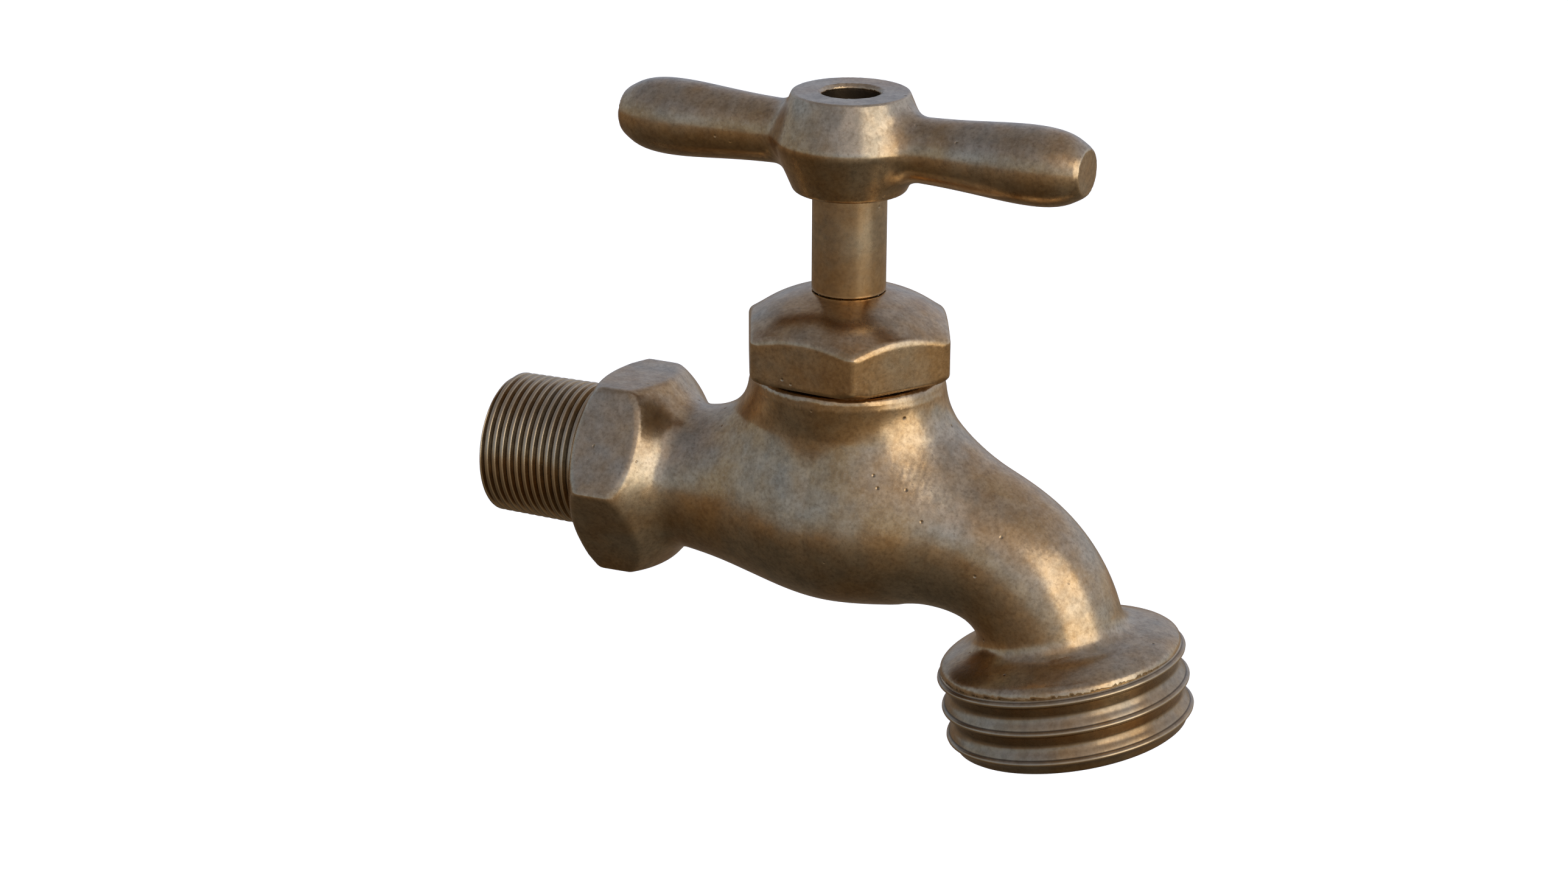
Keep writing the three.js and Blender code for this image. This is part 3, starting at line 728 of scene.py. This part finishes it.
def hex_outline():
    """What trims the wrench hex: a chamfer at the supply end and a dome towards the body."""
    dome = spline([
        (HEX_CORNER, -23.5),
        (11.35, -22.1),
        (10.1, -20.9),
        (8.9, -19.9),
        (7.4, HEX_RIGHT),
    ], 14)
    return np.vstack([
        [(0, HEX_LEFT), (9.9, HEX_LEFT), (11.3, -28.3), (HEX_CORNER + 0.2, -27.1)],
        dome,
        [(0, HEX_RIGHT)],
    ])


def collar_outline():
    """The shoulder over the hose thread."""
    shoulder = spline([
        (8.6, COLLAR_TOP),
        (9.8, -2.6),
        (11.2, -2.15),
        (12.4, -1.65),
        (13.0, -1.1),
        (13.1, -0.6),
    ], 26)
    return np.vstack([[(0, COLLAR_TOP)], shoulder, [(12.9, -0.4), (12.0, -0.2), (0, 0)]])


def chamber_outline():
    """The bore on the spindle axis, from under the seat up to the packing."""
    return rounded([
        (0, -9),
        (3.2, -9),
        (3.2, -0.3),
        (4.8, -0.3),
        (4.8, 1.4),
        (6.8, 1.4, 0.5),
        (6.8, 7, 0.5),
        (6.4, 7.6),
        (6.4, 15.1),
        (7.0, 15.1),
        (7.0, 21),
        (0, 21),
    ])


def outlet_place(x, y, z):
    """Distance from the outlet's axis, and place along it."""
    right = x - OUTLET_CENTRE[0]
    up = z - OUTLET_CENTRE[1]
    across = right * math.cos(OUTLET_TILT) + up * math.sin(OUTLET_TILT)
    along = right * math.sin(OUTLET_TILT) - up * math.cos(OUTLET_TILT)
    return np.hypot(across, y), along


def body_distance():
    """The casting: spout, globe, neck, wrench hex and collar, hollowed by the water ways."""
    spout = planar_tube(SPOUT)
    neck = revolved(neck_outline(), 12)
    hex_envelope = revolved(hex_outline())
    collar = revolved(collar_outline())
    chamber = revolved(chamber_outline())
    outlet_way = planar_tube(OUTLET_WAY, 60, 0.25, 10)
    inlet_way = planar_tube(INLET_WAY, 30, 0.25, 10)

    def distance(x, y, z):
        widen = 1 + GLOBE_WIDENING * np.exp(-(x / GLOBE_REACH) ** 2)
        shape = spout(x, y / widen, z)
        radius = np.hypot(x, y)
        towards = x / np.maximum(radius, 1)
        fillet = NECK_FILLET + NECK_FILLET_BACK * np.maximum(-towards, 0)
        fillet = fillet + NECK_FILLET_FRONT * np.maximum(towards, 0)
        shape = smooth_min(shape, neck(radius, z), fillet)

        flats = hexagon(y, z - HEX_AXIS, HEX_FLATS, HEX_TURN, HEX_EDGE)
        trimmed = smooth_max(flats, hex_envelope(np.hypot(y, z - HEX_AXIS), x), HEX_BEVEL)
        shape = smooth_min(shape, trimmed, HEX_FILLET)

        from_axis, along = outlet_place(x, y, z)
        past_stop = np.where(z < 0, along - CASTING_STOP, FAR_INSIDE)
        shape = np.maximum(shape, past_stop)
        shape = smooth_min(shape, collar(from_axis, along), COLLAR_FILLET)
        shape = np.maximum(shape, past_stop)
        shape = np.maximum(shape, HEX_LEFT - x)

        hollow = np.minimum(chamber(radius, z), outlet_way(x, y, z))
        hollow = np.minimum(hollow, inlet_way(x, y, z))
        supply_bore = np.maximum(np.hypot(y, z) - INLET_BORE, x - INLET_BORE_END)
        outlet_bore = np.maximum(from_axis - OUTLET_BORE, OUTLET_BORE_START - along)
        hollow = np.minimum(hollow, np.minimum(supply_bore, outlet_bore))
        return np.maximum(shape, -hollow)

    return distance


def make_body(material):
    """Meshes the casting."""
    distance = body_distance()
    low = (HEX_LEFT - 1, -14.5, -20.5)
    high = (41, 14.5, NECK_TOP + 1)
    vertices, faces = surface_nets(distance, low, high, BODY_STEP)
    add_piece("body", vertices, faces, "faucet_body", material, "body_casting", distance)


def lay_along_outlet(points):
    """Stands a piece made about +Z on the outlet's axis."""
    turned = turn_about_y(points, math.pi - OUTLET_TILT)
    return turned + [OUTLET_CENTRE[0], 0, OUTLET_CENTRE[1]]


def make_hose_thread(material):
    """Three ridges, each a shallow V with a narrow raised bead on its crest."""
    ridge = [
        (OUTLET_ROOT, -OUTLET_PITCH / 2),
        (12.5, -1.3),
        (12.74, -0.85),
        (13.08, -0.45),
        (13.1, -0.37),
        (13.16, -0.3),
        (13.36, -0.22),
        (13.47, -0.1),
        (OUTLET_CREST, 0.02),
        (13.46, 0.16),
        (13.34, 0.27),
        (13.12, 0.38),
        (12.95, 0.62),
        (12.66, 1.1),
        (12.47, 1.5),
    ]
    outside = [(radius, z + turn * OUTLET_PITCH) for turn in range(3) for radius, z in ridge]
    outside = [(radius, z) for radius, z in outside if -0.6 < z < OUTLET_RIM - 0.9]
    floor = OUTLET_RIM - OUTLET_RECESS_DEPTH
    bore = [
        (12.86, OUTLET_RIM - 0.75),
        (12.72, OUTLET_RIM - 0.4),
        (12.6, OUTLET_RIM - 0.14),
        (12.4, OUTLET_RIM),
        (11.6, OUTLET_RIM),
        (10.6, OUTLET_RIM),
        (9.7, OUTLET_RIM),
        (9.4, OUTLET_RIM - 0.12),
        (OUTLET_RECESS, OUTLET_RIM - 0.4),
        (OUTLET_RECESS, OUTLET_RIM - 2),
        (OUTLET_RECESS, floor + 1),
        (9.0, floor + 0.9),
        (6.6, floor + 0.1),
        (OUTLET_BORE, floor - 0.2),
        (OUTLET_BORE, 1),
        (OUTLET_BORE, -0.5),
        (9, -0.5),
        (12.6, -0.5),
    ]
    vertices, faces = turned_mesh(outside + bore, 288)
    add_piece("hose_thread", lay_along_outlet(vertices), faces, "faucet_body", material,
              "body_casting")


def supply_thread_radius(angle, z):
    """Outside of the supply thread: a barrel with a narrow helical groove."""
    first = INLET_FIRST_GROOVE + angle / (2 * math.pi) * INLET_PITCH
    from_groove = np.abs(z - first - np.round((z - first) / INLET_PITCH) * INLET_PITCH)
    wall = np.clip(1 - from_groove / INLET_GROOVE_HALF, 0, 1)
    depth = INLET_GROOVE_DEPTH * wall ** 0.85
    crown = np.clip((from_groove - INLET_GROOVE_HALF) / (INLET_PITCH / 2 - INLET_GROOVE_HALF), 0, 1)
    depth = depth + INLET_CROWN * (1 - crown) ** 2
    fade = np.clip((INLET_THREAD_END - z) / INLET_RUNOUT, 0, 1)
    radius = INLET_CREST + INLET_TAPER * z - depth * fade
    edge = np.clip((INLET_END_ROUND - z) / INLET_END_ROUND, 0, 1)
    return radius - INLET_END_ROUND * (1 - np.sqrt(1 - edge ** 2))


def make_supply_thread(material):
    """The male pipe thread, laid along the supply axis."""
    stations = np.concatenate([
        np.linspace(0, 0.45, 8)[:-1],
        np.linspace(0.45, INLET_PIECE_END, 330),
    ])
    bore = [
        (INLET_BORE, INLET_PIECE_END),
        (INLET_BORE, 8),
        (INLET_BORE, 3),
        (INLET_BORE, 0.45),
        (INLET_BORE + 0.15, 0.15),
        (INLET_BORE + 0.45, 0),
        (6.3, 0),
        (7.2, 0),
    ]
    segments = 160
    vertices, faces = threaded_mesh(supply_thread_radius, stations, bore, segments)
    laid = turn_about_y(vertices, math.pi / 2) - [STEM_X, 0, 0]
    add_piece("supply_thread", laid, faces, "faucet_body", material, "body_casting")


def make_nut(material):
    """Domed packing nut."""
    bottom = node_box("packing_nut")[0].z - NUT_SKIRT
    corner = NUT_FLATS / math.sqrt(3)
    dome = spline([
        (corner, 19.7),
        (10.5, 20.85),
        (9.1, 21.78),
        (7.7, 22.5),
        (6.3, 23.03),
        (5.2, 23.38),
        (4.2, 23.66),
    ], 30)
    envelope = revolved(np.vstack([
        [(0, bottom), (corner - 0.9, bottom), (corner, bottom + 0.6)],
        dome,
        [(4.1, 23.68), (0, 23.68)],
    ]))
    cavity = revolved(rounded([
        (0, bottom - 2),
        (8.9, bottom - 2),
        (8.9, 19.9),
        (8.4, 20.4),
        (NUT_BORE, 20.4),
        (NUT_BORE, 26),
        (0, 26),
    ]))

    def distance(x, y, z):
        radius = np.hypot(x, y)
        flats = hexagon(x, y, NUT_FLATS, NUT_TURN, NUT_EDGE)
        outside = smooth_max(flats, envelope(radius, z), NUT_BEVEL)
        return np.maximum(outside, -cavity(radius, z))

    low = (-13, -13, bottom - 1)
    high = (13, 13, 24.5)
    vertices, faces = surface_nets(distance, low, high, FINE_STEP)
    add_piece("nut", vertices, faces, "faucet_body", material, "packing_nut", distance)


def make_sleeve(material):
    """The plain cylinder under the hub."""
    low, high = node_box("stem_sleeve")
    outer = (high.x - low.x) / 2 + SLEEVE_SWELL
    outline = rounded([
        (SLEEVE_BORE, low.z),
        (outer, low.z, 0.2),
        *[(outer, low.z + rise) for rise in (0.45, 0.7, 0.95, 1.2, 2.0)],
        *[(outer, high.z - drop) for drop in (2.0, 1.2, 0.95, 0.7, 0.45)],
        (outer, high.z, 0.2),
        (SLEEVE_BORE, high.z),
    ], 8)
    vertices, faces = turned_mesh(outline, 96)
    add_piece("sleeve", vertices, faces, "spindle", material, "stem_sleeve")


def make_handle(material):
    """Cast T-handle: a double-cone hub with two club-shaped arms."""
    bottom, top = (corner.z for corner in node_box("handle"))
    hub = revolved(rounded([
        (0, bottom),
        (6.0, bottom, 0.7),
        (8.4, 40.2, 1.6),
        (6.2, top, 0.25),
        (0, top),
    ], 8))
    club = spline([
        (3.4, 0),
        (3.45, 8),
        (3.55, 11),
        (3.85, 15.5),
        (4.15, 20.5),
        (4.02, 23.2),
        (3.55, 25.1),
        (2.8, 26.5),
    ], 40)
    arm = revolved(np.vstack([club, [(2.45, ARM_LENGTH), (0, ARM_LENGTH), (0, 0)]]))
    hole = revolved(rounded([
        (0, HUB_HOLE_FLOOR),
        (HUB_HOLE, HUB_HOLE_FLOOR),
        (HUB_HOLE, top - 0.35),
        (HUB_HOLE + 0.35, top),
        (HUB_HOLE + 0.35, top + 2),
        (0, top + 2),
    ]))
    c, s = math.cos(ARM_TURN), math.sin(ARM_TURN)

    def distance(x, y, z):
        u, v = c * x + s * y, -s * x + c * y
        radius = np.hypot(u, v)
        arms = arm(np.hypot(v, z - ARM_HEIGHT), np.abs(u))
        shape = smooth_min(hub(radius, z), arms, ARM_FILLET)
        shape = smooth_max(shape, z - top, 0.3)
        shape = np.maximum(shape, bottom - z)
        square = np.maximum(np.maximum(np.abs(u), np.abs(v)) - SOCKET_HALF, z - SOCKET_TOP)
        hollow = np.minimum(hole(radius, z), square)
        return np.maximum(shape, -np.minimum(hollow, radius - SCREW_HOLE))

    low = (-28, -10.5, bottom - 1)
    high = (28, 10.5, top + 1)
    vertices, faces = surface_nets(distance, low, high, FINE_STEP)

    # The hub's hole: its wall is darkened as painted shade.
    def in_shaded_hole(x, y, z):
        return (np.hypot(x, y) < HUB_HOLE + 0.2) & (z < top - 0.7)

    add_piece("tee_handle", vertices, faces, "spindle", material, "handle",
              distance, in_shaded_hole)


def finish_inner_nodes():
    """The enclosed pieces keep their CAD shapes and get real materials."""
    looks = {
        "machined_brass": machined_brass(),
        "steel": plated_steel(),
        "rubber": moulded_rubber(),
        "graphite_packing": braided_graphite(),
    }
    for part in frame["record"]["subparts"]:
        if part["material_slot"] in looks:
            node = frame["nodes"][part["node"]]
            node.data.materials.clear()
            node.data.materials.append(looks[part["material_slot"]])


# ---- camera, floor and light ----

CAMERA_PLACE = (0.12641, -0.29599, 0.12467)     # from the spindle axis at inlet height, metres
CAMERA_AZIMUTH = math.radians(24.346)
CAMERA_ELEVATION = math.radians(20.187)
CAMERA_ROLL = math.radians(0.22)
CAMERA_LENS = 72.41

FLOOR_SIDE = 6.0                # metres, as the next
FLOOR_DROP = 0.05


def aim(azimuth, elevation, roll=0.0):
    """Turns an object so that it looks at the origin from the given direction."""
    back = Vector((
        math.sin(azimuth) * math.cos(elevation),
        -math.cos(azimuth) * math.cos(elevation),
        math.sin(elevation),
    ))
    right = Vector((math.cos(azimuth), math.sin(azimuth), 0))
    up = back.cross(right)
    turned_right = right * math.cos(roll) + up * math.sin(roll)
    turned_up = up * math.cos(roll) - right * math.sin(roll)
    return Matrix((turned_right, turned_up, back)).transposed().to_4x4(), back


def make_camera():
    """The camera of the product view."""
    data = bpy.data.cameras.new("camera")
    data.lens = CAMERA_LENS
    data.sensor_width = 36
    data.clip_start = 0.01
    camera = bpy.data.objects.new("camera", data)
    turn, _ = aim(CAMERA_AZIMUTH, CAMERA_ELEVATION, CAMERA_ROLL)
    place = Vector(CAMERA_PLACE) + Vector((STEM_X * MM, 0, 0))
    camera.matrix_world = Matrix.Translation(place) @ turn
    bpy.context.scene.collection.objects.link(camera)
    bpy.context.scene.camera = camera


def softbox(name, azimuth, elevation, distance, size, radiance, colour):
    """An area light that faces the valve; its azimuth is counted from the camera's."""
    data = bpy.data.lights.new(name, "AREA")
    data.shape = "RECTANGLE"
    data.size, data.size_y = size
    data.energy = radiance * math.pi * size[0] * size[1]
    data.color = colour
    light = bpy.data.objects.new(name, data)
    turn, back = aim(CAMERA_AZIMUTH + math.radians(azimuth), math.radians(elevation))
    centre = Vector((STEM_X * MM, 0, 0.01))
    light.matrix_world = Matrix.Translation(centre + back * distance) @ turn
    bpy.context.scene.collection.objects.link(light)


# Room brightness by height: sine of the elevation, then red, green and blue.
DIM_SIDE = [
    (-1.0, (0.05, 0.041, 0.033)),
    (-0.7, (0.091, 0.073, 0.055)),
    (-0.5, (0.13, 0.102, 0.078)),
    (-0.24, (0.19, 0.148, 0.112)),
    (-0.12, (0.195, 0.146, 0.106)),
    (-0.05, (0.3, 0.335, 0.4)),
    (0.17, (0.31, 0.38, 0.53)),
    (0.34, (0.29, 0.355, 0.51)),
    (0.5, (0.27, 0.305, 0.42)),
    (0.64, (0.235, 0.26, 0.37)),
    (0.77, (0.21, 0.23, 0.31)),
    (0.91, (0.155, 0.165, 0.22)),
    (1.0, (0.24, 0.26, 0.35)),
]
BRIGHT_SIDE = [
    (-1.0, (0.1, 0.085, 0.068)),
    (-0.7, (0.17, 0.14, 0.11)),
    (-0.5, (0.22, 0.185, 0.15)),
    (-0.24, (0.32, 0.27, 0.22)),
    (-0.12, (0.43, 0.375, 0.33)),
    (-0.05, (0.52, 0.57, 0.67)),
    (0.17, (0.5, 0.56, 0.74)),
    (0.34, (0.56, 0.63, 0.85)),
    (0.5, (0.46, 0.5, 0.67)),
    (0.64, (0.44, 0.47, 0.62)),
    (0.77, (0.4, 0.42, 0.54)),
    (0.91, (0.37, 0.385, 0.47)),
    (1.0, (0.29, 0.3, 0.4)),
]
BRIGHT_AZIMUTH = math.radians(75)       # the brighter side of the room, counted from the camera


def room_ramp(room, height, stops):
    """A colour by height, read between the stops."""
    ramp = room.add("ShaderNodeValToRGB")
    elements = ramp.color_ramp.elements
    while len(elements) < len(stops):
        elements.new(0.5)
    for element, (sine, colour) in zip(elements, stops):
        element.position = (sine + 1) / 2
        element.color = (*colour, 1)
    room.link(height, ramp.inputs[0])
    return ramp.outputs[0]


def room_colour(room):
    """The colour by height, blended from the dim side to the bright side."""
    place = room.add("ShaderNodeTexCoord").outputs["Generated"]
    split = room.add("ShaderNodeSeparateXYZ")
    room.link(place, split.inputs[0])
    height = room.remap(split.outputs["Z"], -1, 1)
    towards = room.add("ShaderNodeVectorMath", operation="DOT_PRODUCT")
    bearing = CAMERA_AZIMUTH + BRIGHT_AZIMUTH
    towards.inputs[1].default_value = (math.sin(bearing), -math.cos(bearing), 0)
    room.link(place, towards.inputs[0])
    side = room.remap(towards.outputs["Value"], -0.8, 0.6)
    side.node.interpolation_type = "SMOOTHSTEP"
    return room.mix(side, room_ramp(room, height, DIM_SIDE), room_ramp(room, height, BRIGHT_SIDE))


def make_room():
    """Light from all round, brown below and bluish above. The camera sees plain white behind."""
    world = bpy.data.worlds.new("studio")
    bpy.context.scene.world = world
    world.use_nodes = True
    world.node_tree.nodes.clear()
    room = Tree(world.node_tree)
    lit = room.add("ShaderNodeBackground")
    room.link(room_colour(room), lit.inputs["Color"])
    white = room.add("ShaderNodeBackground")
    white.inputs["Color"].default_value = (1, 1, 1, 1)
    choose = room.add("ShaderNodeMixShader")
    seen = room.add("ShaderNodeLightPath").outputs["Is Camera Ray"]
    for source, socket in zip((seen, lit.outputs[0], white.outputs[0]), choose.inputs):
        room.link(source, socket)
    output = room.add("ShaderNodeOutputWorld")
    room.link(choose.outputs[0], output.inputs["Surface"])


def make_lights():
    """A large warm softbox to the right and a weak one in front."""
    softbox(
        "key", azimuth=46, elevation=14, distance=0.7,
        size=(0.62, 0.64), radiance=1.1, colour=(1.0, 0.955, 0.87),
    )
    softbox(
        "fill", azimuth=12, elevation=40, distance=0.7,
        size=(0.75, 0.5), radiance=0.09, colour=(1.0, 0.7, 0.25),
    )


def make_floor():
    """A pale floor well below the spout, which the metal doesn't mirror."""
    half = FLOOR_SIDE / 2
    height = CAD_BOX[0][2] - FLOOR_DROP
    mesh = bpy.data.meshes.new("floor")
    corners = [(-half, -half, height), (half, -half, height), (half, half, height), (-half, half, height)]
    mesh.from_pydata(corners, [], [(0, 1, 2, 3)])
    material = bpy.data.materials.new("pale_floor")
    material.use_nodes = True
    shader = material.node_tree.nodes["Principled BSDF"]
    shader.inputs["Base Color"].default_value = (0.9, 0.9, 0.9, 1)
    shader.inputs["Roughness"].default_value = 1.0
    shader.inputs["Emission Color"].default_value = (1, 1, 1, 1)
    shader.inputs["Emission Strength"].default_value = 0.85
    mesh.materials.append(material)
    floor = bpy.data.objects.new("floor", mesh)
    floor.visible_glossy = False
    floor.visible_diffuse = False
    bpy.context.scene.collection.objects.link(floor)


make_camera()
make_lights()
make_room()
make_floor()
cast_brass = antique_brass("cast_brass")
turned_brass = antique_brass("turned_brass", casting=0.35, darkness=0.04)
thread_brass = antique_brass("thread_brass", casting=0.35, darkness=0.24)
make_body(cast_brass)
make_hose_thread(thread_brass)
make_supply_thread(thread_brass)
make_nut(cast_brass)
make_sleeve(turned_brass)
make_handle(cast_brass)
finish_inner_nodes()
bpy.context.scene.view_settings.view_transform = "Standard"
